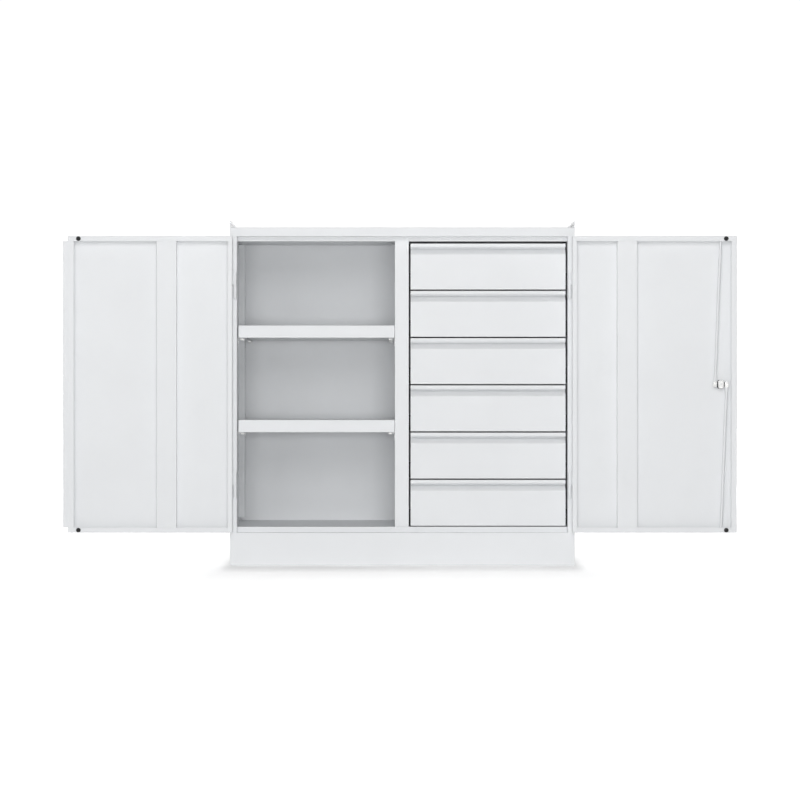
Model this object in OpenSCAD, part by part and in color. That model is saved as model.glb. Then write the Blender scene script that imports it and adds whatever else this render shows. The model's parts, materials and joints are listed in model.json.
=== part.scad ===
// Half-height steel tool cabinet on a closed plinth, with two hinged doors shown folded
// right back, a left compartment with two adjustable shelves and a right compartment with
// six drawers. Front faces -Y, Z is up, origin on the floor under the middle of the carcass
// and the doors together.

/* [Carcass] */
// Width over the side walls
cab_w = 1000; // [960:10:1200]
// Depth from the front frame to the rear face
cab_d = 500; // [480:10:600]
// Height from the floor to the top of the rim
cab_h = 1000; // [1000:10:1100]
// Thickness of the folded sheet
sheet = 1.2; // [1:0.1:1.4]
// Height of the closed plinth
plinth_h = 95; // [85:5:110]
// Height of the front band of the top cover
fascia_h = 25.5; // [20:0.5:26]
// Height of the rim that stands above the top on three sides
rim_h = 19.5; // [12:0.5:22]
// Face width of each side post
post_w = 20; // [19:0.5:22]
// Depth of the side posts and of the centre post
post_d = 100; // [80:5:110]

/* [Centre post] */
// Face width of the centre post
mid_w = 40; // [38:0.5:42]
// Offset of the centre post from the middle
mid_shift = -1.3; // [-2:0.1:2]

/* [Doors] */
// Thickness of a door pan
door_t = 20; // [20:0.5:21]
// Gap between each door edge and the middle of the cabinet
door_mid_gap = 3; // [2:0.5:4]
// Height of the top and bottom return flanges
flange_tb = 14.5; // [12:0.5:16]
// Width of the return flange on the free edge
flange_free = 15.5; // [11:0.5:16]
// Width of the return flange on the hinge edge
flange_hinge = 13; // [11:0.5:15]
// Width of the stiffening channel down each door
stiff_w = 58; // [50:1:62]
// Width of the overlap strip on the left door
strip_w = 31.2; // [26:0.2:32]
// Diameter of the rubber buffers
buffer_d = 13; // [10:0.5:14]

/* [Hinges] */
// Diameter of a hinge knuckle
knuckle_d = 9.5; // [9:0.1:10]
// Diameter of the hinge pins
pin_d = 6; // [5:0.2:6]
// Height of each knuckle
knuckle_h = 38; // [30:1:40]
// Height of the joint line of the lower hinges
hinge_low = 233.8; // [200:0.1:300]
// Height of the joint line of the upper hinges
hinge_high = 813; // [700:1:860]

/* [Lock] */
// Height of the lock spindle above the floor
lock_z = 525.2; // [450:0.1:600]
// Distance from each crank pin to the lock spindle
crank_r = 17; // [16:0.5:18]
// Diameter of the locking rods
rod_d = 7; // [6:0.5:7]
// Length of the handle from its spindle
handle_l = 96; // [80:2:110]

/* [Shelves] */
// Height of the underside of the lower shelf
shelf_low = 386; // [311:25:411]
// Height of the underside of the upper shelf
shelf_high = 661; // [586:25:761]
// Height of a shelf's folded edge
shelf_h = 36; // [28:1:38]
// Pitch of the slots that carry the shelf clips
slot_pitch = 25; // [25:25:25]

/* [Drawers] */
// Gap between two drawer fronts
drawer_gap = 3.8; // [3:0.2:6]
// Width of a drawer front
front_w = 451; // [445:1:452]
// Height of the grip lip along the top of a front
lip_h = 10.5; // [8:0.5:12]
// Height of the finger recess below the lip
recess_h = 22; // [18:0.5:24]
// Depth of the finger recess
recess_d = 18; // [14:0.5:20]
// Height of a drawer box
box_h = 102; // [80:2:104]
// Length of the telescopic slides
slide_l = 430; // [400:5:430]
// Height of the telescopic slides
slide_h = 45; // [40:1:46]

/* [Hidden] */
$fn = 48;

light_grey = [0.86, 0.87, 0.87];
zinc = [0.78, 0.79, 0.80];
rubber = [0.05, 0.05, 0.05];

hw = cab_w / 2;
y_mid = 16.5;                          // middle of the carcass; the open doors stand 33 in front of it
yf = y_mid - cab_d / 2;
yb = y_mid + cab_d / 2;
z_top = cab_h - rim_h;                 // upper face of the top sheet
z_fas = z_top - fascia_h;              // lower edge of the front band
z_floor = plinth_h + 16.4;             // upper face of the cabinet floor
y_stop = yf + door_t + 3.5;            // plane that the closed doors stop against
z_rail = z_fas - 13.6;                   // lower edge of the top rail
door_z0 = plinth_h + 1.5;
door_z1 = z_fas - 1.2;
door_x1 = hw - post_w - 2;             // hinge edge of a closed door
hinge_x = door_x1 + 7;                 // hinge axis
hy = yf - 5;
mid0 = mid_shift - mid_w / 2;          // left side of the centre post
mid1 = mid_shift + mid_w / 2;          // right side of the centre post
part_x = mid0 + 15.4;                  // left face of the partition sheet
lock_x = 48.5;
rod_y = yf + 14.2;
rod_tilt = asin(crank_r / (door_z1 - lock_z));
slide_t = 12.7;
box_x0 = mid1 + slide_t;
box_x1 = hw - post_w - slide_t;
front_x0 = (mid1 + hw - post_w) / 2 - front_w / 2 + 0.15;
front_y = y_stop + 1;
front_t = recess_d + sheet;            // depth of a drawer front
drawers_top = z_rail - 4.4;
drawers_bot = z_floor + 0.6;
pitch = (drawers_top - drawers_bot) / 6;
slide_y0 = front_y + front_t + 2;
box_y0 = front_y + front_t;
box_y1 = slide_y0 + slide_l - 10;
n_slots = floor((z_rail - 40 - z_floor) / slot_pitch);

// ---- helpers -------------------------------------------------------------

module blk(x0, x1, y0, y1, z0, z1)
  translate([x0, y0, z0]) cube([x1 - x0, y1 - y0, z1 - z0]);

// the same on either side of the middle plane
module sblk(s, x0, x1, y0, y1, z0, z1)
  if (s > 0) blk(x0, x1, y0, y1, z0, z1); else blk(-x1, -x0, y0, y1, z0, z1);

function unit(v) = v / norm(v);
function left_of(v) = [-v[1], v[0]];
function shifted(p, i, d) =
  let (n = len(p),
       a = i > 0 ? unit(p[i] - p[i - 1]) : unit(p[1] - p[0]),
       b = i < n - 1 ? unit(p[i + 1] - p[i]) : a,
       m = unit(left_of(a) + left_of(b)))
  p[i] + m * d / (m * left_of(a));
// outline of a sheet of thickness d folded along the path p, d to the left of the path
function folded(p, d) = concat(p, [for (i = [len(p) - 1:-1:0]) shifted(p, i, d)]);

module fold_z(p, d, z0, z1) translate([0, 0, z0]) linear_extrude(z1 - z0) polygon(folded(p, d));
module fold_x(p, d, x0, x1)
  translate([x0, 0, 0]) rotate([90, 0, 90]) linear_extrude(x1 - x0) polygon(folded(p, d));

module rod_z(x, y, z0, z1, d) translate([x, y, z0]) cylinder(d = d, h = z1 - z0);
module rod_y_(x, z, y0, y1, d) translate([x, y1, z]) rotate([90, 0, 0]) cylinder(d = d, h = y1 - y0);
module rod_x(y, z, x0, x1, d) translate([x0, y, z]) rotate([0, 90, 0]) cylinder(d = d, h = x1 - x0);

// doors are drawn closed and turned half a turn about their hinges
module left_open() translate([-2 * hinge_x, 2 * hy, 0]) rotate([0, 0, 180]) children();
module right_open() translate([2 * hinge_x, 2 * hy, 0]) rotate([0, 0, 180]) children();
module mirrored_x() mirror([1, 0, 0]) children();

// ---- carcass -------------------------------------------------------------

module plinth() color(light_grey) {
  t = 1.5;
  difference() {
    blk(-hw, hw, yf, yb, 0, plinth_h);
    blk(-hw + t, hw - t, yf + t, yb - t, t, plinth_h - t);
    blk(-hw + 16, hw - 16, yf + 16, yb - 16, -1, t + 1);
    blk(-hw + 26, hw - 26, yf + 26, yb - 26, plinth_h - t - 1, plinth_h + 1);
    blk(lock_x - 10, lock_x + 10, rod_y - 5, rod_y + 5, plinth_h - t - 1, plinth_h + 1);
  }
}

// s = -1 is the left side, s = 1 the right
module side_panel(s) {
  difference() {
    union() {
      fold_z([[s * (hw - post_w), yf + post_d], [s * (hw - post_w), yf], [s * hw, yf], [s * hw, yb],
              [s * (hw - 25), yb]], s * sheet, plinth_h, z_fas);
      sblk(s, hw - post_w + sheet / 2, hw - sheet / 2, yf + post_d - sheet, yf + post_d, plinth_h, z_fas);
    }
    sblk(s, hw - post_w - 1, hw - sheet, y_stop, yf + post_d + 1, plinth_h - 1, z_floor);
  }
  // narrow ledge that the top cover sits on
  sblk(s, hw - 15, hw - sheet, yf + post_d + 5, yb - 2 * sheet, z_fas - sheet, z_fas);
}

module slot_cuts(x, y)
  for (i = [1:n_slots]) blk(x - 1, x + sheet + 1, y - 1.6, y + 1.6,
                            z_floor - 0.4 + i * slot_pitch - 13, z_floor - 0.4 + i * slot_pitch - 4);

module side_panel_left() color(light_grey) difference() {
  side_panel(-1);
  slot_cuts(-hw + post_w - sheet, yf + 65);
}

module side_panel_right() color(light_grey) difference() {
  side_panel(1);
  screw_holes(hw - post_w, 1);
}

module back_panel() color(light_grey)
  blk(-hw + sheet, hw - sheet, yb - 2 * sheet, yb - sheet, plinth_h, z_fas);

module top_cover() color(light_grey) {
  difference() {
    blk(-hw, hw, yf, yb, z_fas, cab_h);
    blk(-hw - 1, hw + 1, yf - 1, yf + sheet, z_top, cab_h + 1);
    blk(-hw + sheet, hw - sheet, yf - 1, yb - sheet, z_top, cab_h + 1);
    blk(-hw + sheet, hw - sheet, yf + sheet, yb - sheet, z_fas + sheet, z_top - sheet);
    blk(-hw + 15, hw - 15, yf + sheet, yb - 15, z_fas - 1, z_fas + sheet + 1);
    blk(-hw + sheet, hw - sheet, yf + sheet, yf + door_t + 5, z_fas - 1, z_fas + sheet + 1);
  }
  // front ends of the side rims and the turned-in hem along the top of the rim
  blk(-hw, -hw + sheet, yf, yf + sheet, z_top, cab_h);
  blk(hw - sheet, hw, yf, yf + sheet, z_top, cab_h);
  blk(-hw + sheet, -hw + 2 * sheet, yf, yb - 2 * sheet, cab_h - 9, cab_h);
  blk(hw - 2 * sheet, hw - sheet, yf, yb - 2 * sheet, cab_h - 9, cab_h);
  blk(-hw + sheet, hw - sheet, yb - 2 * sheet, yb - sheet, cab_h - 9, cab_h);
}

module floor_panel() color(light_grey) {
  difference() {
    blk(-hw + sheet, hw - sheet, y_stop, yb - 2 * sheet, plinth_h, z_floor);
    blk(-hw + 2 * sheet, hw - 2 * sheet, y_stop + sheet, yb - 3 * sheet, plinth_h - 1, z_floor - sheet);
  }
}

module top_rail() color(light_grey) difference() {
  union() {
    fold_x([[y_stop + 20, z_rail], [y_stop, z_rail], [y_stop, z_fas + sheet]], -sheet,
           -hw + post_w, hw - post_w);
    blk(-hw + sheet, hw - sheet, yf + sheet, y_stop + sheet, z_fas, z_fas + sheet);
  }
  blk(lock_x - 10, lock_x + 10, rod_y - 5, rod_y + 5, z_fas - 1, z_fas + sheet + 1);
}

module centre_post() color(light_grey) difference() {
  union() {
    blk(mid0, mid1, y_stop - sheet, y_stop, z_floor, z_rail + 6.5);
    difference() {
      blk(mid0, mid1, y_stop, yf + post_d, z_floor, z_rail);
      blk(mid0 + sheet, mid1 - sheet, y_stop - 1, yf + post_d - sheet, z_floor - 1, z_rail + 1);
    }
  }
  slot_cuts(mid0, yf + 65);
  screw_holes(mid1 - sheet, 1);
}

module centre_partition() color(light_grey) difference() {
  blk(part_x, part_x + sheet, yf + post_d, yb - 2 * sheet, z_floor, z_top - sheet);
  blk(part_x - 1, part_x + 2, yb - 16, yb, z_fas - 1, z_top);
}

// two perforated channels at the back of the shelf compartment, one on the side wall
// and one on the partition
module shelf_uprights() color(light_grey) {
  y0 = yb - 97; y1 = yb - 67; z0 = z_floor + 12; z1 = z_fas - 3;
  difference() {
    blk(-hw + sheet, -hw + 21.7, y0, y1, z0, z1);
    blk(-hw, -hw + 21.7 - sheet, y0 + sheet, y1 - sheet, z0 - 1, z1 + 1);
    slot_cuts(-hw + 21.7 - sheet, yb - 82);
  }
  difference() {
    blk(mid0, part_x, y0, y1, z0, z1);
    blk(mid0 + sheet, part_x + 1, y0 + sheet, y1 - sheet, z0 - 1, z1 + 1);
    slot_cuts(mid0, yb - 82);
  }
}

module slide_uprights() color(light_grey) {
  difference() {
    union() {
      difference() {
        blk(part_x + sheet, mid1, yb - 100, yb - 70, z_floor + 8, z_rail - 12);
        blk(part_x, mid1 - sheet, yb - 100 + sheet, yb - 70 - sheet, z_floor, z_rail);
      }
      difference() {
        blk(hw - post_w, hw - sheet, yb - 100, yb - 70, z_floor + 8, z_rail - 12);
        blk(hw - post_w + sheet, hw, yb - 100 + sheet, yb - 70 - sheet, z_floor, z_rail);
      }
    }
    screw_holes(mid1 - sheet, 2);
    screw_holes(hw - post_w, 2);
  }
}

// ---- shelves -------------------------------------------------------------

module shelf(z) {
  x0 = -hw + post_w + 2.7; x1 = mid0 - 1;
  y0 = y_stop + 4; y1 = yb - 12;
  difference() {
    blk(x0, x1, y0, y1, z, z + shelf_h);
    blk(x0 + 1, x1 - 1, y0 + 1, y1 - 1, z + 1, z + shelf_h - 1);
    blk(x0 + 14, x1 - 14, y0 + 14, y1 - 14, z - 1, z + 2);
  }
  // stiffening channel under the shelf
  difference() {
    blk(x0 + 1, x1 - 1, y_mid - 30, y_mid + 30, z + shelf_h - 16, z + shelf_h - 1);
    blk(x0, x1, y_mid - 29, y_mid + 29, z + shelf_h - 15, z + shelf_h);
  }
}
module shelf_upper() color(light_grey) shelf(shelf_high);
module shelf_lower() color(light_grey) shelf(shelf_low);

// one clip: hooks through a slot at x, tongue towards +X
module clip(x, y, z) translate([x, y, z]) {
  blk(0, 1.5, -7, 7, -22, 0);
  blk(1.5, 18.5, -7, 7, -2, 0);
  blk(-3, 0, -1.3, 1.3, -11, -6);
  blk(-3, -1.5, -1.3, 1.3, -12.5, -6);
  // stiffening lip under the end of the tongue
  blk(8, 18.5, -0.75, 0.75, -6.5, -1);
}
module shelf_clips() color(zinc)
  for (z = [shelf_low, shelf_high]) {
    clip(-hw + post_w, yf + 65, z);
    clip(-hw + 21.7, yb - 82, z);
    translate([mid0, 0, 0]) mirrored_x() clip(0, yf + 65, z);
    translate([mid0, 0, 0]) mirrored_x() clip(0, yb - 82, z);
  }

// ---- hinges --------------------------------------------------------------

module socket(z) {
  difference() {
    union() {
      rod_z(-hinge_x, hy, z - knuckle_h, z, knuckle_d);
      blk(-hinge_x - 3, -hinge_x + 3, hy, yf, z - knuckle_h, z);
    }
    rod_z(-hinge_x, hy, z - knuckle_h + 2, z + 1, pin_d);
  }
}
module hinge_sockets() color(light_grey)
  for (z = [hinge_low, hinge_high]) { socket(z); mirrored_x() socket(z); }

module hinge_pins() color(zinc)
  for (z = [hinge_low, hinge_high], s = [-1, 1])
    rod_z(s * hinge_x, hy, z - knuckle_h + 2, z + knuckle_h - 5, pin_d);

// door knuckle, drawn on the left door closed
module knuckle(z) difference() {
  union() {
    rod_z(-hinge_x, hy, z + 0.4, z + knuckle_h, knuckle_d);
    translate([-hinge_x, hy, z + 0.4]) linear_extrude(knuckle_h - 0.4)
      polygon([[1.5, -2], [4, -1.5], [7, 2.2], [7, 18], [5.4, 18], [5.4, 3.4], [2, 1.5]]);
  }
  rod_z(-hinge_x, hy, z - 1, z + knuckle_h - 3, pin_d + 0.1);
}
module door_left_hinges() color(light_grey)
  left_open() for (z = [hinge_low, hinge_high]) knuckle(z);
module door_right_hinges() color(light_grey)
  right_open() mirrored_x() for (z = [hinge_low, hinge_high]) knuckle(z);

// ---- doors ---------------------------------------------------------------

// left door pan, closed
module pan() {
  x0 = -door_x1; x1 = -door_mid_gap;
  y1 = yf + door_t;
  difference() {
    blk(x0, x1, yf, y1, door_z0, door_z1);
    blk(x0 + sheet, x1 - sheet, yf + sheet, y1 - sheet, door_z0 + sheet, door_z1 - sheet);
    blk(x0 + flange_hinge, x1 - flange_free, y1 - sheet - 1, y1 + 1, door_z0 + flange_tb, door_z1 - flange_tb);
  }
}
module stiffener(x) {
  y0 = yf + sheet; y1 = yf + door_t;
  z0 = door_z0 + flange_tb; z1 = door_z1 - flange_tb;
  difference() {
    blk(x, x + stiff_w, y0, y1, z0, z1);
    blk(x + sheet, x + stiff_w - sheet, y0 + sheet, y1 - sheet, z0 - 1, z1 + 1);
    blk(x + 12, x + stiff_w - 12, y0 - 1, y0 + sheet + 1, z0 - 1, z1 + 1);
  }
}
module buffers(x) for (z = [door_z0 + flange_tb / 2, door_z1 - flange_tb / 2])
  difference() {
    rod_y_(x, z, yf + door_t, yf + door_t + 3.1, buffer_d);
    rod_y_(x, z, yf + door_t + 1.8, yf + door_t + 4, 3.4);
  }

module door_left_panel() color(light_grey) left_open() pan();
module door_left_stiffener() color(light_grey) left_open() stiffener(-317);
module door_left_overlap_strip() color(light_grey) left_open() {
  y = yf + door_t;
  x0 = -door_mid_gap - flange_free - 1.9;
  fold_z([[x0, y], [-door_mid_gap - 1, y], [-door_mid_gap - 0.4, y + 0.4], [x0 + strip_w, y + 0.4]],
         1, z_floor, z_rail - 2.5);
}
module door_left_buffers() color(rubber) left_open() buffers(-33.7);

module door_right_panel() color(light_grey) right_open() difference() {
  mirrored_x() pan();
  rod_y_(lock_x, lock_z, yf - 1, yf + 3, 20.2);
  for (z = [door_z0, door_z1]) blk(lock_x - 9, lock_x + 9, rod_y - 4.4, rod_y + 4.4, z - 3, z + 3);
}
module door_right_stiffener() color(light_grey) right_open() mirrored_x() stiffener(-348.5);
module door_right_buffers() color(rubber) right_open() buffers(33.7);

// ---- lock, drawn with the door closed ------------------------------------

module lock_bushing() color(zinc) right_open() difference() {
  union() {
    rod_y_(lock_x, lock_z, yf - 4, yf + 9, 20);
    rod_y_(lock_x, lock_z, yf - 4, yf, 34);
  }
  rod_y_(lock_x, lock_z, yf - 5, yf + 10, 10.2);
}
module lock_nut() color(zinc) right_open() difference() {
  translate([lock_x, yf + 5.2, lock_z]) rotate([90, 0, 0]) cylinder(d = 28, h = 4, $fn = 6);
  rod_y_(lock_x, lock_z, yf, yf + 10, 20.2);
}
// handle on the outer face, pointing to the hinge side while unlocked
module handle() color(rubber) right_open() difference() {
  union() {
    rod_y_(lock_x, lock_z, yf - 20.3, yf - 4.3, 32);
    translate([0, yf - 8.3, lock_z]) rotate([90, 0, 0]) linear_extrude(10)
      polygon([[lock_x, -13], [lock_x + handle_l - 9, -9], [lock_x + handle_l - 9, 9], [lock_x, 13]]);
    rod_y_(lock_x + handle_l - 9, lock_z, yf - 18.3, yf - 8.3, 18);
    rod_y_(lock_x, lock_z, yf - 5, yf + 16, 10);
  }
  rod_y_(lock_x, lock_z, yf - 22, yf - 7, 12.1);
}
module lock_cylinder() color(zinc) right_open() difference() {
  union() {
    rod_y_(lock_x, lock_z, yf - 21.3, yf - 7.4, 12);
  }
  blk(lock_x - 0.9, lock_x + 0.9, yf - 23, yf - 13, lock_z - 4, lock_z + 4);
}
module lock_cam() color(zinc) right_open() difference() {
  union() {
    translate([lock_x, 0, lock_z]) {
      blk(-crank_r, crank_r, yf + 9.4, yf + 11.9, -6, 6);
      for (s = [-1, 1]) {
        rod_y_(s * crank_r, 0, yf + 9.4, yf + 11.9, 12);
        rod_y_(s * crank_r, 0, yf + 11, yf + 18.6, 5);
        rod_y_(s * crank_r, 0, yf + 16.9, yf + 18.6, 9);
      }
      blk(-8, 8, yf + 11, yf + 17.6, -9, 9);
      blk(-6, 6, yf + 11, yf + 17.6, -11.6, 11.6);
      translate([0, yf + 19, 0]) rotate([90, 0, 0]) cylinder(d = 12.6, h = 2, $fn = 6);
    }
  }
  rod_y_(lock_x, lock_z, yf, yf + 16, 10);
}
// one rod, its crank pin at the origin, running up
module rod(len) difference() {
  union() {
    rod_z(0, 0, 9, len, rod_d);
    // flattened head with round corners
    blk(-5.7, 5.7, -2, 2, -3.8, 3.8);
    blk(-1.7, 1.7, -2, 2, -7.8, 9.5);
    for (x = [-1.7, 1.7], z = [-3.8, 3.8]) rod_y_(x, z, -2, 2, 8);
    blk(-4.3, 4.3, -2, 2, 5, 20);
  }
  rod_y_(0, 0, -5, 5, 5.1);
}
rod_len = (door_z1 - lock_z) / cos(rod_tilt);
rod_len_low = (lock_z - door_z0) / cos(rod_tilt);
module upper_rod() color(light_grey) right_open()
  translate([lock_x + crank_r, rod_y, lock_z]) rotate([0, -rod_tilt, 0]) rod(rod_len);
module lower_rod() color(light_grey) right_open()
  translate([lock_x - crank_r, rod_y, lock_z]) rotate([0, 180 - rod_tilt, 0]) rod(rod_len_low);

// ---- drawers -------------------------------------------------------------

function low(i) = drawers_top - pitch * i + drawer_gap / 2;
front_h = pitch - drawer_gap;
slide_z = 3 + slide_h / 2;             // centre line of the slides above a front's lower edge

// screws: k = 1 front position, k = 2 rear position
module screw_holes(x, k) for (i = [1:6])
  rod_x(k == 1 ? slide_y0 + 30 : yb - 85, low(i) + slide_z, x - 1, x + sheet + 1, 4.2);

module drawer_box(i) {
  z0 = low(i) + 4;
  difference() {
    blk(box_x0, box_x1, box_y0, box_y1, z0, z0 + box_h);
    blk(box_x0 + 1, box_x1 - 1, box_y0 + 1, box_y1 - 1, z0 + 1, z0 + box_h - 1);
    blk(box_x0 + 7, box_x1 - 7, box_y0 + 1, box_y1 - 7, z0 + box_h - 2, z0 + box_h + 1);
  }
}
module drawer_front(i) {
  z0 = low(i); z1 = z0 + front_h; x1 = front_x0 + front_w;
  zr = z1 - lip_h - recess_h;
  // a flange turned up against the box; the recess leans back in a scoop and ends straight up
  // behind the lip
  fold_x([[front_y + front_t, z0 + 14], [front_y + front_t, z0], [front_y, z0], [front_y, zr],
          [front_y + 0.22 * recess_d, zr + 0.25 * recess_h], [front_y + 0.58 * recess_d, zr + 0.54 * recess_h],
          [front_y + recess_d, zr + 0.82 * recess_h], [front_y + recess_d, z1 - sheet],
          [front_y + sheet, z1 - sheet], [front_y + sheet, z1 - lip_h]],
         -sheet, front_x0, x1);
  for (x = [front_x0, x1 - sheet])
    blk(x, x + sheet, front_y + sheet / 2, front_y + front_t, z0 + sheet / 2, z1 - lip_h - recess_h - 1);
}

// section across a slide member: channel open towards +X
module channel(x0, x1, t, h) difference() {
  translate([x0, -h / 2]) square([x1 - x0, h]);
  translate([x0 + t, -h / 2 + t]) square([x1 - x0, h - 2 * t]);
}
module on_side(s, i) translate([s < 0 ? mid1 : hw - post_w, 0, low(i) + slide_z])
  mirror([s < 0 ? 0 : 1, 0, 0]) children();
module along_y(y0, y1) translate([0, y1, 0]) rotate([90, 0, 0]) linear_extrude(y1 - y0) children();

module slide_rails() color(zinc) difference() {
  for (i = [1:6], s = [-1, 1]) on_side(s, i)
    along_y(slide_y0, slide_y0 + slide_l) channel(0, 9, 1.2, slide_h);
  for (k = [1, 2]) { screw_holes(mid1, k); screw_holes(hw - post_w - sheet, k); }
}
module slide_screws() color(zinc)
  for (i = [1:6], s = [-1, 1], y = [slide_y0 + 30, yb - 85]) on_side(s, i) {
    rod_x(y, 0, -4, 1.2, 4.2);
    rod_x(y, 0, 1.2, 1.9, 7);
  }
module drawer_slides(i) for (s = [-1, 1]) on_side(s, i)
  along_y(slide_y0 + 1, slide_y0 + slide_l - 2) channel(2.4, 10.4, 1.2, slide_h - 5);
module drawer_runners(i) for (s = [-1, 1]) on_side(s, i)
  translate([slide_t, 0, 0]) mirror([1, 0, 0])
    along_y(slide_y0 + 1, slide_y0 + slide_l - 12) channel(0, 7.6, 1.2, slide_h - 10);

module drawer_1_box() color(light_grey) drawer_box(1);
module drawer_2_box() color(light_grey) drawer_box(2);
module drawer_3_box() color(light_grey) drawer_box(3);
module drawer_4_box() color(light_grey) drawer_box(4);
module drawer_5_box() color(light_grey) drawer_box(5);
module drawer_6_box() color(light_grey) drawer_box(6);
module drawer_1_front() color(light_grey) drawer_front(1);
module drawer_2_front() color(light_grey) drawer_front(2);
module drawer_3_front() color(light_grey) drawer_front(3);
module drawer_4_front() color(light_grey) drawer_front(4);
module drawer_5_front() color(light_grey) drawer_front(5);
module drawer_6_front() color(light_grey) drawer_front(6);
module drawer_1_runners() color(zinc) drawer_runners(1);
module drawer_2_runners() color(zinc) drawer_runners(2);
module drawer_3_runners() color(zinc) drawer_runners(3);
module drawer_4_runners() color(zinc) drawer_runners(4);
module drawer_5_runners() color(zinc) drawer_runners(5);
module drawer_6_runners() color(zinc) drawer_runners(6);
module drawer_1_slides() color(zinc) drawer_slides(1);
module drawer_2_slides() color(zinc) drawer_slides(2);
module drawer_3_slides() color(zinc) drawer_slides(3);
module drawer_4_slides() color(zinc) drawer_slides(4);
module drawer_5_slides() color(zinc) drawer_slides(5);
module drawer_6_slides() color(zinc) drawer_slides(6);

plinth();
side_panel_left();
side_panel_right();
back_panel();
top_cover();
floor_panel();
top_rail();
centre_post();
centre_partition();
shelf_uprights();
slide_uprights();
shelf_upper();
shelf_lower();
shelf_clips();
hinge_sockets();
hinge_pins();
slide_rails();
slide_screws();
door_left_panel();
door_left_stiffener();
door_left_overlap_strip();
door_left_buffers();
door_left_hinges();
door_right_panel();
door_right_stiffener();
door_right_buffers();
door_right_hinges();
lock_bushing();
lock_nut();
handle();
lock_cam();
lock_cylinder();
upper_rod();
lower_rod();
drawer_1_box();
drawer_1_front();
drawer_1_runners();
drawer_1_slides();
drawer_2_box();
drawer_2_front();
drawer_2_runners();
drawer_2_slides();
drawer_3_box();
drawer_3_front();
drawer_3_runners();
drawer_3_slides();
drawer_4_box();
drawer_4_front();
drawer_4_runners();
drawer_4_slides();
drawer_5_box();
drawer_5_front();
drawer_5_runners();
drawer_5_slides();
drawer_6_box();
drawer_6_front();
drawer_6_runners();
drawer_6_slides();
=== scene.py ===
# Visual model of the half-height steel tool cabinet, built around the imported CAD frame.
# Metres, Z up, the front faces -Y. Both doors are folded right back at rest.
import json
import math

import bmesh
import bpy
from mathutils import Matrix, Vector


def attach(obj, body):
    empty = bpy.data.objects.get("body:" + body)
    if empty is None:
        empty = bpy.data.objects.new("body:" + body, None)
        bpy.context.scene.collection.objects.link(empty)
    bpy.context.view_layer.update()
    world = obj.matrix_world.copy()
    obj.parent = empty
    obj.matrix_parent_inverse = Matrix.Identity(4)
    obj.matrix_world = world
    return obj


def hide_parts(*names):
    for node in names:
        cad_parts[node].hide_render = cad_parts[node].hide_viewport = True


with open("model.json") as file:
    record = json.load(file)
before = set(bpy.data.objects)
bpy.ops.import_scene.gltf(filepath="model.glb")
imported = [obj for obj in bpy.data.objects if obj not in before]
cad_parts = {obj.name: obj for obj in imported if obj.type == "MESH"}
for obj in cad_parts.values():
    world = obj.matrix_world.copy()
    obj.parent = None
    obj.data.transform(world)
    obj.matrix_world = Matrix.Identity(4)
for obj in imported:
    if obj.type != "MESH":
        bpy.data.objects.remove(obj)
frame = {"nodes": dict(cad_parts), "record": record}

bpy.context.view_layer.update()
NODES = frame["nodes"]
BODY_OF = {n: b for b, ns in frame["record"]["behaviour"]["bodies"].items() for n in ns}
SLOT_OF = {s["node"]: s["material_slot"] for s in frame["record"]["subparts"]}

MM = 0.001
scene = bpy.context.scene


# ---------------------------------------------------------------------------
# materials
# ---------------------------------------------------------------------------

def material(name):
    m = bpy.data.materials.new(name)
    m.use_nodes = True
    nt = m.node_tree
    nt.nodes.clear()
    out = nt.nodes.new("ShaderNodeOutputMaterial")
    bsdf = nt.nodes.new("ShaderNodeBsdfPrincipled")
    nt.links.new(bsdf.outputs[0], out.inputs[0])
    return m, nt, bsdf


def node(nt, kind, **values):
    n = nt.nodes.new(kind)
    for k, v in values.items():
        if hasattr(n, k):
            setattr(n, k, v)
        else:
            n.inputs[k.replace("_", " ").title()].default_value = v
    return n


def noise(nt, coord, scale, detail=2.0, rough=0.5, stretch=None):
    """A noise texture in metres; scale is features per metre."""
    src = coord
    if stretch:
        mp = nt.nodes.new("ShaderNodeMapping")
        mp.inputs["Scale"].default_value = stretch
        nt.links.new(coord, mp.inputs["Vector"])
        src = mp.outputs["Vector"]
    n = nt.nodes.new("ShaderNodeTexNoise")
    n.inputs["Scale"].default_value = scale
    n.inputs["Detail"].default_value = detail
    n.inputs["Roughness"].default_value = rough
    nt.links.new(src, n.inputs["Vector"])
    return n.outputs["Fac"]


def span(nt, value, lo, hi, a=0.3, b=0.7):
    """Maps a noise value from a..b to lo..hi."""
    n = nt.nodes.new("ShaderNodeMapRange")
    n.inputs["From Min"].default_value = a
    n.inputs["From Max"].default_value = b
    n.inputs["To Min"].default_value = lo
    n.inputs["To Max"].default_value = hi
    nt.links.new(value, n.inputs["Value"])
    return n.outputs["Result"]


def mix(nt, fac, a, b):
    n = nt.nodes.new("ShaderNodeMix")
    n.data_type = "RGBA"
    for sock, v in ((n.inputs[0], fac), (n.inputs[6], a), (n.inputs[7], b)):
        if hasattr(v, "is_linked"):
            nt.links.new(v, sock)
        else:
            sock.default_value = v
    return n.outputs[2]


def math_(nt, op, a, b=0.0):
    n = nt.nodes.new("ShaderNodeMath")
    n.operation = op
    for sock, v in zip(n.inputs, (a, b)):
        if hasattr(v, "is_linked"):
            nt.links.new(v, sock)
        else:
            sock.default_value = v
    return n.outputs[0]


def bump(nt, height, distance, strength=1.0, below=None):
    n = nt.nodes.new("ShaderNodeBump")
    n.inputs["Strength"].default_value = strength
    n.inputs["Distance"].default_value = distance
    nt.links.new(height, n.inputs["Height"])
    if below is not None:
        nt.links.new(below, n.inputs["Normal"])
    return n.outputs["Normal"]


def obj_coord(nt):
    return nt.nodes.new("ShaderNodeTexCoord").outputs["Object"]


def edge_attr(nt):
    n = nt.nodes.new("ShaderNodeAttribute")
    n.attribute_name = "fold"
    return n.outputs["Fac"]


PAINT = (0.786, 0.799, 0.813, 1.0)


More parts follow.
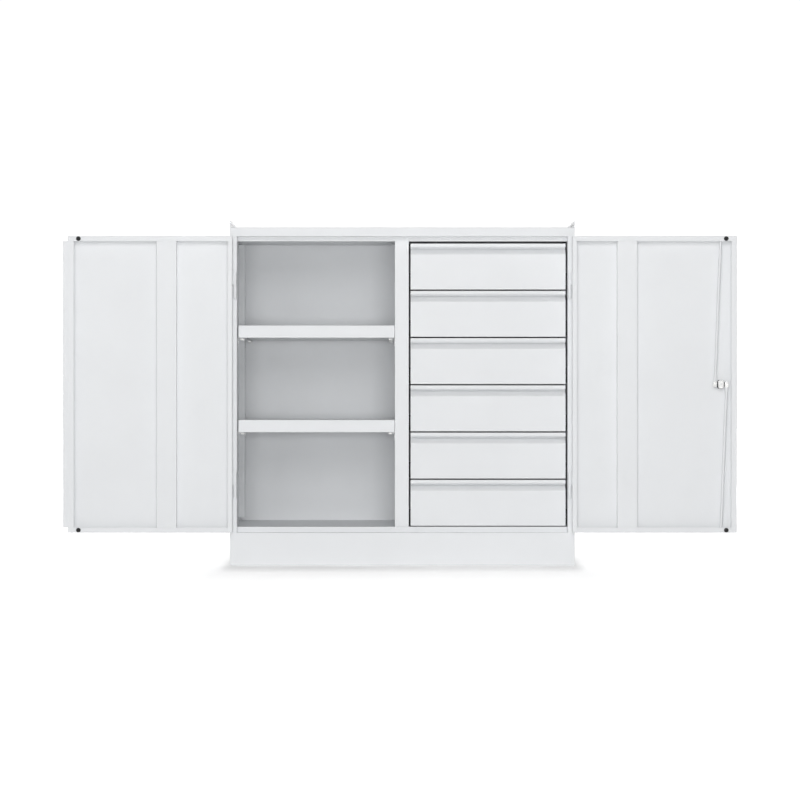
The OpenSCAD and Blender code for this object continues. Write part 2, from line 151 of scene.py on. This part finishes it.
def paint_material():
    """Semi-matt powder coat: slow cloudiness of the film, orange peel about 2 mm wide and a fine grain, smoother
    over the folded edges and painted lighter there as a highlight."""
    m, nt, b = material("powder_coat_light_grey")
    co = obj_coord(nt)
    edge = edge_attr(nt)
    cloud = noise(nt, co, 5.0, 3.0, 0.55)
    lo = [c * 0.985 for c in PAINT[:3]] + [1.0]
    hi = [min(1.0, c * 1.012) for c in PAINT[:3]] + [1.0]
    body = mix(nt, span(nt, cloud, 0.0, 1.0), lo, hi)
    grain = noise(nt, co, 1500.0, 2.0, 0.6)
    body = mix(nt, span(nt, grain, 0.0, 0.06, 0.35, 0.7), body, (0.66, 0.67, 0.68, 1.0))
    # painted highlight: the rounded folds get a lighter paint colour
    thin = mix(nt, math_(nt, "MULTIPLY", edge, span(nt, noise(nt, co, 60.0, 3.0), 0.05, 0.35)),
               body, (0.84, 0.85, 0.86, 1.0))
    nt.links.new(thin, b.inputs["Base Color"])
    peel = noise(nt, co, 420.0, 2.0, 0.45)
    rough = span(nt, noise(nt, co, 25.0, 3.0, 0.6), 0.40, 0.50)
    rough = math_(nt, "SUBTRACT", rough, math_(nt, "MULTIPLY", edge, 0.07))
    nt.links.new(rough, b.inputs["Roughness"])
    n1 = bump(nt, peel, 0.00006, 0.35)
    n2 = bump(nt, grain, 0.000015, 0.35, n1)
    nt.links.new(n2, b.inputs["Normal"])
    b.inputs["Specular IOR Level"].default_value = 0.45
    return m


def zinc_material():
    """Bright zinc plating: faint rolling lines, milky spangle and a little blue in the film."""
    m, nt, b = material("bright_zinc_plate")
    co = obj_coord(nt)
    edge = edge_attr(nt)
    b.inputs["Metallic"].default_value = 1.0
    milk = noise(nt, co, 90.0, 4.0, 0.6)
    lines = noise(nt, co, 30.0, 3.0, 0.6, (1.0, 1.0, 60.0))
    c = mix(nt, span(nt, milk, 0.0, 1.0), (0.79, 0.795, 0.80, 1.0), (0.93, 0.925, 0.90, 1.0))
    c = mix(nt, span(nt, lines, 0.0, 0.35), c, (0.72, 0.73, 0.745, 1.0))
    # painted highlight: the rounded edges get a brighter zinc colour
    c = mix(nt, math_(nt, "MULTIPLY", edge, 0.5), c, (0.95, 0.95, 0.95, 1.0))
    nt.links.new(c, b.inputs["Base Color"])
    r = math_(nt, "ADD", span(nt, milk, 0.17, 0.29), span(nt, lines, -0.03, 0.05))
    nt.links.new(r, b.inputs["Roughness"])
    n1 = bump(nt, lines, 0.00002, 0.3)
    n2 = bump(nt, noise(nt, co, 700.0, 2.0), 0.00002, 0.3, n1)
    nt.links.new(n2, b.inputs["Normal"])
    return m


def rubber_material():
    m, nt, b = material("black_rubber_moulded")
    co = obj_coord(nt)
    dust = noise(nt, co, 300.0, 4.0, 0.65)
    c = mix(nt, span(nt, dust, 0.0, 1.0, 0.4, 0.75), (0.012, 0.012, 0.013, 1.0), (0.035, 0.035, 0.034, 1.0))
    nt.links.new(c, b.inputs["Base Color"])
    nt.links.new(span(nt, dust, 0.62, 0.85), b.inputs["Roughness"])
    nt.links.new(bump(nt, noise(nt, co, 2200.0, 2.0), 0.00004, 0.4), b.inputs["Normal"])
    b.inputs["Specular IOR Level"].default_value = 0.35
    return m


def plastic_material():
    """Moulded black plastic with a fine spark-eroded grain, polished a little on the edges."""
    m, nt, b = material("black_plastic_grained")
    co = obj_coord(nt)
    edge = edge_attr(nt)
    vor = nt.nodes.new("ShaderNodeTexVoronoi")
    vor.inputs["Scale"].default_value = 1800.0
    nt.links.new(co, vor.inputs["Vector"])
    cloud = noise(nt, co, 60.0, 3.0)
    c = mix(nt, span(nt, cloud, 0.0, 1.0), (0.016, 0.016, 0.018, 1.0), (0.028, 0.028, 0.030, 1.0))
    nt.links.new(c, b.inputs["Base Color"])
    r = math_(nt, "SUBTRACT", span(nt, cloud, 0.42, 0.55), math_(nt, "MULTIPLY", edge, 0.12))
    nt.links.new(r, b.inputs["Roughness"])
    nt.links.new(bump(nt, vor.outputs["Distance"], 0.00004, 0.35), b.inputs["Normal"])
    return m


MATS = {
    "light_grey_paint": paint_material(),
    "zinc_plate": zinc_material(),
    "black_rubber": rubber_material(),
    "black_plastic": plastic_material(),
}


# ---------------------------------------------------------------------------
# folded and rounded copies of the CAD nodes
# ---------------------------------------------------------------------------

def thin(face):
    """True for the cut edge of a sheet: a face about as wide as the sheet is thick."""
    p = sum(e.calc_length() for e in face.edges)
    return p > 0 and 2 * face.calc_area() / p < 0.00175


def room(edge):
    """How far a rounding of this edge may reach before it meets the next edge."""
    r = 1.0
    for v in edge.verts:
        for e in v.link_edges:
            if e is edge or not any(f in edge.link_faces for f in e.link_faces):
                continue
            d = (edge.other_vert(v).co - v.co).normalized()
            w = e.other_vert(v).co - v.co
            across = (w - d * w.dot(d)).length
            r = min(r, across if across > 1e-5 else r)
    return r


def clean_mesh(name, src, fold, cut, inner, min_angle, out_segments=3, even=False):
    """A rounded copy of a CAD mesh. fold, cut and inner are the radii of outer folds, of cut
    sheet edges and of inner corners, in metres. even gives every edge the radius fold."""
    bm = bmesh.new()
    bm.from_mesh(src)
    bmesh.ops.remove_doubles(bm, verts=bm.verts, dist=2e-6)
    bmesh.ops.dissolve_limit(bm, angle_limit=math.radians(0.5), verts=bm.verts, edges=bm.edges)
    bm.normal_update()
    big = max(fold, cut, inner, 1e-6)
    w = bm.edges.layers.float.new("bevel_weight_edge")
    for e in bm.edges:
        if len(e.link_faces) != 2:
            continue
        a = e.calc_face_angle_signed(0.0)
        if abs(a) < math.radians(min_angle):
            continue
        narrow = any(thin(f) for f in e.link_faces)
        r = (0.0 if narrow else inner) if a < 0 else (cut if narrow else fold)
        r = fold if even else min(r, 0.45 * room(e))
        e[w] = max(0.0, min(1.0, r / big))
    bmesh.ops.connect_verts_concave(bm, faces=bm.faces)
    me = bpy.data.meshes.new(name + "_base")
    bm.to_mesh(me)
    bm.free()
    o = bpy.data.objects.new(name + "_base", me)
    scene.collection.objects.link(o)
    mod = o.modifiers.new("round", "BEVEL")
    mod.limit_method = "WEIGHT"
    mod.width = big
    mod.segments = out_segments
    mod.use_clamp_overlap = False
    mod.miter_outer = "MITER_SHARP"
    mod.material = 1
    me.materials.clear()
    me.materials.append(None)
    me.materials.append(None)
    for p in me.polygons:
        p.material_index = 0
    bpy.context.view_layer.update()
    dg = bpy.context.evaluated_depsgraph_get()
    out = bpy.data.meshes.new_from_object(o.evaluated_get(dg))
    bpy.data.objects.remove(o)
    bpy.data.meshes.remove(me)
    out.name = name
    return out


def finish_mesh(me, smooth_angle=32.0):
    """Marks the rounded strips with the attribute fold and smooths the shading; the large faces are kept flat by the
    area-weighted normals that add_piece adds."""
    bm = bmesh.new()
    bm.from_mesh(me)
    layer = bm.loops.layers.float.new("fold")
    for f in bm.faces:
        v = 1.0 if f.material_index == 1 else 0.0
        for lo in f.loops:
            lo[layer] = v
        f.material_index = 0
        f.smooth = True
    for e in bm.edges:
        e.smooth = not (len(e.link_faces) == 2 and e.calc_face_angle(0.0) > math.radians(smooth_angle))
    bm.to_mesh(me)
    bm.free()
    me.materials.clear()


def add_piece(name, me, body, slot, replaces=(), mat=None):
    o = bpy.data.objects.new(name, me)
    scene.collection.objects.link(o)
    me.materials.clear()
    me.materials.append(mat or MATS[slot])
    wn = o.modifiers.new("even_normals", "WEIGHTED_NORMAL")
    wn.mode = "FACE_AREA"
    wn.weight = 60
    wn.keep_sharp = True
    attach(o, body)
    if replaces:
        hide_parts(*replaces)
    return o


def refine(n, fold=1.5, cut=0.35, inner=0.4, min_angle=25.0, segments=3, smooth=32.0, even=False):
    me = clean_mesh(n + "_v", NODES[n].data, fold * MM, cut * MM, inner * MM, min_angle, segments, even)
    finish_mesh(me, smooth)
    return add_piece(n + "_v", me, BODY_OF[n], SLOT_OF[n], (n,))


SHEET = dict(fold=1.5, cut=0.4, inner=0.4)
for n in ("plinth", "side_panel_left", "side_panel_right", "top_cover", "floor_panel", "top_rail",
          "centre_post", "door_left_panel", "door_right_panel", "door_left_stiffener",
          "door_right_stiffener", "door_left_overlap_strip", "shelf_upper", "shelf_lower"):
    refine(n, **SHEET)
for n in ("back_panel", "centre_partition"):
    refine(n, fold=0.3, cut=0.3, inner=0.0)
for n in ("shelf_uprights", "slide_uprights"):
    refine(n, fold=1.3, cut=0.3, inner=0.4)
for i in range(1, 7):
    refine(f"drawer_{i}_front", fold=1.3, cut=0.35, inner=0.5)
    refine(f"drawer_{i}_box", fold=1.2, cut=0.3, inner=0.4)
    refine(f"drawer_{i}_runners", fold=1.2, cut=0.3, inner=0.5)
    refine(f"drawer_{i}_slides", fold=1.2, cut=0.3, inner=0.5)


def black_caps_painted_shade(n):
    """Thin black caps on the front ends of the slide channels of a node: painted shade for the dark gaps beside the
    drawers.
    """
    bm = bmesh.new()
    bm.from_mesh(NODES[n].data)
    bmesh.ops.remove_doubles(bm, verts=bm.verts, dist=2e-6)
    bmesh.ops.dissolve_limit(bm, angle_limit=math.radians(0.5), verts=bm.verts, edges=bm.edges)
    bm.normal_update()
    y0 = min(v.co.y for v in bm.verts)
    rest = [f for f in bm.faces if not (f.normal.y < -0.99 and f.calc_center_median().y < y0 + 0.1 * MM)]
    bmesh.ops.delete(bm, geom=rest, context="FACES")
    bmesh.ops.delete(bm, geom=[v for v in bm.verts if not v.link_faces], context="VERTS")
    for v in bm.verts:
        v.co.y -= 0.02 * MM
    ext = bmesh.ops.extrude_face_region(bm, geom=bm.faces[:])
    for v in ext["geom"]:
        if isinstance(v, bmesh.types.BMVert):
            v.co.y -= 0.9 * MM
    bmesh.ops.recalc_face_normals(bm, faces=bm.faces)
    src = bpy.data.meshes.new(n + "_stops_src")
    bm.to_mesh(src)
    bm.free()
    me = clean_mesh(n + "_shade_caps", src, 0.25 * MM, 0.25 * MM, 0.0, 50, 2)
    finish_mesh(me, 40)
    add_piece(n + "_shade_caps", me, BODY_OF[n], "black_plastic")


# black caps as painted shade in the gaps beside the drawers
for i in range(1, 7):
    black_caps_painted_shade(f"drawer_{i}_runners")
    black_caps_painted_shade(f"drawer_{i}_slides")
black_caps_painted_shade("slide_rails")
refine("slide_rails", fold=1.2, cut=0.3, inner=0.5)
refine("slide_screws", fold=0.25, cut=0.25, inner=0.0, min_angle=50)
refine("shelf_clips", fold=0.5, cut=0.3, inner=0.3)
for n in ("hinge_sockets", "door_left_hinges", "door_right_hinges"):
    refine(n, fold=0.6, cut=0.4, inner=0.3, min_angle=40, smooth=40)
refine("hinge_pins", fold=0.4, cut=0.4, inner=0.0, min_angle=50, smooth=40)
for n in ("door_left_buffers", "door_right_buffers"):
    refine(n, fold=0.9, cut=0.5, inner=0.3, min_angle=50, segments=4, smooth=45)
refine("lock_bushing", fold=0.6, cut=0.6, inner=0.0, min_angle=50, smooth=40)
refine("lock_nut", fold=0.5, cut=0.5, inner=0.0, min_angle=50, smooth=40)

# The cam: a plate behind, made black as painted shade for the gaps around the hub, and the zinc hub with its bolt
# and the two crank pins in front.
cam_bm = bmesh.new()
cam_bm.from_mesh(NODES["lock_cam"].data)
bmesh.ops.remove_doubles(cam_bm, verts=cam_bm.verts, dist=2e-6)
cam_lo = Vector([min(v.co[k] for v in cam_bm.verts) for k in range(3)])
cam_hi = Vector([max(v.co[k] for v in cam_bm.verts) for k in range(3)])
PLATE_Y = cam_hi.y - 2.5 * MM
HUB = Vector(((cam_lo.x + cam_hi.x) / 2, PLATE_Y, (cam_lo.z + cam_hi.z) / 2))
cut = bmesh.ops.bisect_plane(cam_bm, geom=cam_bm.verts[:] + cam_bm.edges[:] + cam_bm.faces[:], dist=1e-6,
                             plane_co=(0, PLATE_Y - 0.05 * MM, 0), plane_no=(0, 1, 0), clear_outer=True)
bmesh.ops.holes_fill(cam_bm, edges=[e for e in cam_bm.edges if e.is_boundary], sides=0)
bmesh.ops.recalc_face_normals(cam_bm, faces=cam_bm.faces)
hub_src = bpy.data.meshes.new("hub_src")
cam_bm.to_mesh(hub_src)
cam_bm.free()
me = clean_mesh("lock_hub_v", hub_src, 0.25 * MM, 0.25 * MM, 0.25 * MM, 50, 3, True)
finish_mesh(me, 40)
add_piece("lock_hub_v", me, BODY_OF["lock_cam"], "zinc_plate", ("lock_cam",))

# painted shade: the plate behind the hub and rod heads is black
plate = bmesh.new()
outline = []
for s in (1, -1):
    for k in range(13):
        a = math.radians(-90 + 15 * k) if s > 0 else math.radians(90 + 15 * k)
        outline.append((HUB.x + s * 17 * MM + 6 * MM * math.cos(a), HUB.z + 6 * MM * math.sin(a)))
ring = [plate.verts.new((x, PLATE_Y, z)) for x, z in outline]
face = plate.faces.new(ring)
ext = bmesh.ops.extrude_face_region(plate, geom=[face])
for v in ext["geom"]:
    if isinstance(v, bmesh.types.BMVert):
        v.co.y += 2.5 * MM
bmesh.ops.recalc_face_normals(plate, faces=plate.faces)
plate_src = bpy.data.meshes.new("plate_src")
plate.to_mesh(plate_src)
plate.free()
me = clean_mesh("lock_plate_painted_shade_v", plate_src, 0.3 * MM, 0.3 * MM, 0.0, 50, 3, True)
finish_mesh(me, 40)
add_piece("lock_plate_painted_shade_v", me, BODY_OF["lock_cam"], "black_plastic", ("lock_cam",))
refine("lock_cylinder", fold=0.5, cut=0.4, inner=0.0, min_angle=50, smooth=40)
refine("handle", fold=2.2, cut=1.0, inner=1.0, min_angle=40, segments=4, smooth=45)


def split_rod(n, z_cut, up):
    """A painted rod and its flattened zinc head, parted at the height z_cut; up is 1 when the
    rod runs up from its head and -1 when it runs down."""
    for part, side in (("bar", 1), ("head", -1)):
        bm = bmesh.new()
        bm.from_mesh(NODES[n].data)
        bmesh.ops.remove_doubles(bm, verts=bm.verts, dist=2e-6)
        bmesh.ops.bisect_plane(bm, geom=bm.verts[:] + bm.edges[:] + bm.faces[:], dist=1e-6,
                               plane_co=(0, 0, z_cut + side * up * 0.02 * MM), plane_no=(0, 0, -side * up),
                               clear_outer=True)
        bmesh.ops.holes_fill(bm, edges=[e for e in bm.edges if e.is_boundary], sides=0)
        bmesh.ops.recalc_face_normals(bm, faces=bm.faces)
        src = bpy.data.meshes.new(n + "_src")
        bm.to_mesh(src)
        bm.free()
        me = clean_mesh(f"{n}_{part}_v", src, 0.25 * MM, 0.25 * MM, 0.25 * MM, 50, 3, True)
        finish_mesh(me, 40)
        add_piece(f"{n}_{part}_v", me, BODY_OF[n], "zinc_plate" if side < 0 else SLOT_OF[n], (n,))


split_rod("upper_rod", HUB.z + 8.6 * MM, 1)
split_rod("lower_rod", HUB.z - 8.6 * MM, -1)


# ---------------------------------------------------------------------------
# camera, floor and light
# ---------------------------------------------------------------------------

cam_data = bpy.data.cameras.new("camera")
cam = bpy.data.objects.new("camera", cam_data)
scene.collection.objects.link(cam)
cam_data.sensor_width = 36.0
cam_data.lens = 131.85
cam.location = (-0.0067, -8.7335, 0.480)
cam.rotation_euler = (math.radians(90.0), 0.0, 0.0)
cam_data.clip_start, cam_data.clip_end = 0.1, 200.0
scene.camera = cam

floor_me = bpy.data.meshes.new("studio_floor")
bm = bmesh.new()
bmesh.ops.create_grid(bm, x_segments=8, y_segments=8, size=40.0)
bm.to_mesh(floor_me)
bm.free()
floor = bpy.data.objects.new("studio_floor", floor_me)
scene.collection.objects.link(floor)
floor.location = (0, 0, -0.0002)
fm, nt, b = material("pale_studio_floor_painted_shadow")
co = obj_coord(nt)
fc = mix(nt, span(nt, noise(nt, co, 2.0, 3.0), 0.0, 1.0), (0.895, 0.895, 0.895, 1), (0.905, 0.905, 0.905, 1))
nt.links.new(fc, b.inputs["Base Color"])
b.inputs["Roughness"].default_value = 0.9
b.inputs["Specular IOR Level"].default_value = 0.1
b.inputs["Emission Color"].default_value = (1.0, 1.0, 1.0, 1.0)
# The floor glows. Camera rays see a painted white that is dimmed near the cabinet's footprint and in front of it as
# a painted contact shadow, on top of the shadow the lamps cast. Other rays see a weak 0.14 glow that lights the
# cabinet from below as painted bounce light.
parts = nt.nodes.new("ShaderNodeSeparateXYZ")
nt.links.new(co, parts.inputs[0])
far_x = math_(nt, "MAXIMUM", math_(nt, "SUBTRACT", math_(nt, "ABSOLUTE", parts.outputs["X"]), 0.49), 0.0)
far_y = math_(nt, "MAXIMUM", math_(nt, "SUBTRACT", math_(nt, "ABSOLUTE", parts.outputs["Y"]), 0.24), 0.0)
far_x = math_(nt, "MULTIPLY", far_x, 9.0)
reach = math_(nt, "SQRT", math_(nt, "ADD", math_(nt, "MULTIPLY", far_x, far_x), math_(nt, "MULTIPLY", far_y, far_y)))
floor_glow_painted_shadow = math_(nt, "ADD", span(nt, reach, 0.235, 0.52, 0.09, 0.35), span(nt, reach, 0.0, 0.09, 0.35, 0.8))
floor_glow_painted_shadow = math_(nt, "ADD", floor_glow_painted_shadow, span(nt, parts.outputs["Y"], 0.0, 0.13, -0.35, 0.0))
far = nt.nodes.new("ShaderNodeVectorMath")
far.operation = "LENGTH"
nt.links.new(co, far.inputs[0])
floor_glow_painted_shadow = math_(nt, "ADD", floor_glow_painted_shadow, span(nt, far.outputs["Value"], 0.0, 0.42, 1.5, 4.5))
f_path = nt.nodes.new("ShaderNodeLightPath")
f_mix = nt.nodes.new("ShaderNodeMix")
f_mix.data_type = "FLOAT"
f_mix.inputs[2].default_value = 0.14
nt.links.new(f_path.outputs["Is Camera Ray"], f_mix.inputs[0])
nt.links.new(floor_glow_painted_shadow, f_mix.inputs[3])
nt.links.new(f_mix.outputs[0], b.inputs["Emission Strength"])
floor_me.materials.append(fm)

world = bpy.data.worlds.new("studio")
scene.world = world
world.use_nodes = True
wn = world.node_tree
wn.nodes.clear()
w_out = wn.nodes.new("ShaderNodeOutputWorld")
w_path = wn.nodes.new("ShaderNodeLightPath")
w_light = wn.nodes.new("ShaderNodeBackground")
w_gloss = wn.nodes.new("ShaderNodeBackground")
w_seen = wn.nodes.new("ShaderNodeBackground")
w_mix1 = wn.nodes.new("ShaderNodeMixShader")
w_mix2 = wn.nodes.new("ShaderNodeMixShader")
for bg, power in ((w_light, 0.06), (w_gloss, 1.02), (w_seen, 1.05)):
    bg.inputs["Color"].default_value = (1.0, 1.0, 1.0, 1.0)
    bg.inputs["Strength"].default_value = power
wn.links.new(w_path.outputs["Is Glossy Ray"], w_mix1.inputs[0])
wn.links.new(w_light.outputs[0], w_mix1.inputs[1])
wn.links.new(w_gloss.outputs[0], w_mix1.inputs[2])
wn.links.new(w_path.outputs["Is Camera Ray"], w_mix2.inputs[0])
wn.links.new(w_mix1.outputs[0], w_mix2.inputs[1])
wn.links.new(w_seen.outputs[0], w_mix2.inputs[2])
wn.links.new(w_mix2.outputs[0], w_out.inputs[0])


def softbox(name, at, aim, size, power, colour=(1.0, 1.0, 1.0)):
    d = bpy.data.lights.new(name, "AREA")
    d.shape = "RECTANGLE"
    d.size, d.size_y = size
    d.energy = power
    d.color = colour
    o = bpy.data.objects.new(name, d)
    scene.collection.objects.link(o)
    o.location = at
    o.rotation_mode = "QUATERNION"
    o.rotation_quaternion = (Vector(aim) - Vector(at)).to_track_quat("-Z", "Y")
    return o


low = softbox("light_front_low", (0.0, -8.2, 0.3), (0.0, 0.0, 0.5), (2.5, 1.2), 284.0)
low.visible_glossy = False
softbox("light_front_high", (0.0, -8.0, 2.6), (0.0, 0.0, 0.5), (3.5, 1.5), 67.0)
softbox("light_front_top", (0.0, -6.5, 4.5), (0.0, 0.0, 0.5), (4.0, 2.0), 144.0)
softbox("light_left", (-3.2, -7.6, 1.0), (0.0, 0.0, 0.5), (2.0, 2.0), 30.0)
softbox("light_back_top", (0.0, 2.8, 4.5), (0.0, 0.3, 0.0), (7.0, 3.0), 60.0)
softbox("light_back", (0.0, 7.5, 1.8), (0.0, 0.0, 0.5), (4.0, 2.0), 90.0)

scene.view_settings.view_transform = "Standard"
scene.view_settings.look = "None"
scene.view_settings.exposure = 0.0
scene.view_settings.gamma = 1.0

bpy.context.view_layer.update()
